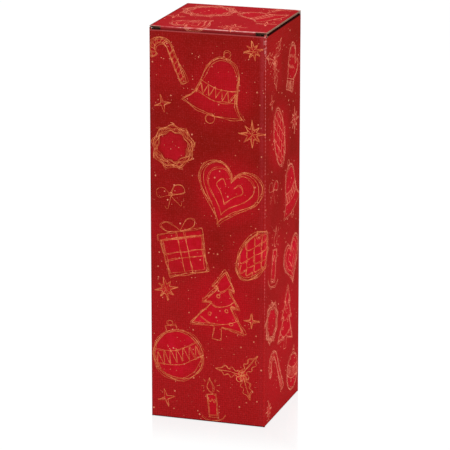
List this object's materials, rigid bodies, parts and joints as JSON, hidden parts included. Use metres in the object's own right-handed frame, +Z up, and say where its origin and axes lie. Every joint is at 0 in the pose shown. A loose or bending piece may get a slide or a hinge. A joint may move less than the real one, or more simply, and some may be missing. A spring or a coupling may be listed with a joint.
{
  "type": "wine gift box",
  "caption": "Tall square gift carton for a bottle of wine in printed corrugated board, with a hinged tuck-in lid, dust flaps and a snap-lock base.",
  "frame": {"origin": "middle of the square footprint, on the surface the carton stands on", "axes": "+Z up; the front panel faces -Y; the lid hinges at the top of the back panel, at +Y; +X is to the right seen from the front"},
  "size_m": [0.104, 0.104, 0.35],
  "materials": {
    "printed_liner": "red all-over print with fine gold line motifs, satin",
    "fluting_paper": "raw recycled fluting paper",
    "inner_liner": "raw grey-brown recycled liner",
    "seam_glue": "dried white glue"
  },
  "bodies": {
    "carton": {"front_wall_outer_liner": "printed_liner", "front_wall_fluting": "fluting_paper", "front_wall_inner_liner": "inner_liner", "back_wall_outer_liner": "printed_liner", "back_wall_fluting": "fluting_paper", "back_wall_inner_liner": "inner_liner", "right_wall_outer_liner": "printed_liner", "right_wall_fluting": "fluting_paper", "right_wall_inner_liner": "inner_liner", "left_wall_outer_liner": "printed_liner", "left_wall_fluting": "fluting_paper", "left_wall_inner_liner": "inner_liner", "seam_flap_outer_liner": "printed_liner", "seam_flap_fluting": "fluting_paper", "seam_flap_inner_liner": "inner_liner", "seam_glue": "seam_glue", "base_front_flap_outer_liner": "printed_liner", "base_front_flap_fluting": "fluting_paper", "base_front_flap_inner_liner": "inner_liner", "base_tongue_outer_liner": "printed_liner", "base_tongue_fluting": "fluting_paper", "base_tongue_inner_liner": "inner_liner", "base_left_flap_outer_liner": "printed_liner", "base_left_flap_fluting": "fluting_paper", "base_left_flap_inner_liner": "inner_liner", "base_right_flap_outer_liner": "printed_liner", "base_right_flap_fluting": "fluting_paper", "base_right_flap_inner_liner": "inner_liner", "base_back_flap_outer_liner": "printed_liner", "base_back_flap_fluting": "fluting_paper", "base_back_flap_inner_liner": "inner_liner"},
    "lid": {"lid_outer_liner": "printed_liner", "lid_fluting": "fluting_paper", "lid_inner_liner": "inner_liner"},
    "tuck_flap": {"tuck_flap_outer_liner": "printed_liner", "tuck_flap_fluting": "fluting_paper", "tuck_flap_inner_liner": "inner_liner"},
    "right_dust_flap": {"right_dust_flap_outer_liner": "printed_liner", "right_dust_flap_fluting": "fluting_paper", "right_dust_flap_inner_liner": "inner_liner"},
    "left_dust_flap": {"left_dust_flap_outer_liner": "printed_liner", "left_dust_flap_fluting": "fluting_paper", "left_dust_flap_inner_liner": "inner_liner"}
  },
  "joints": [
    {"name": "lid_fold", "type": "hinge", "parent": "carton", "child": "lid", "pos_m": [0, 0.05155, 0.34955], "axis": [-1, 0, 0], "range_deg": [0, 180]},
    {"name": "tuck_fold", "type": "hinge", "parent": "lid", "child": "tuck_flap", "pos_m": [0, -0.04978, 0.34946], "axis": [-1, 0, 0], "range_deg": [0, 54]},
    {"name": "right_dust_fold", "type": "hinge", "parent": "carton", "child": "right_dust_flap", "pos_m": [0.05155, 0, 0.3468], "axis": [0, 1, 0], "range_deg": [0, 80]},
    {"name": "left_dust_fold", "type": "hinge", "parent": "carton", "child": "left_dust_flap", "pos_m": [-0.05155, 0, 0.3468], "axis": [0, -1, 0], "range_deg": [0, 80]}
  ],
  "couplings": [
    {"joint": "tuck_fold", "follows": "lid_fold", "ratio": 0.3},
    {"joint": "right_dust_fold", "follows": "lid_fold", "ratio": 0.44},
    {"joint": "left_dust_fold", "follows": "lid_fold", "ratio": 0.44}
  ]
}
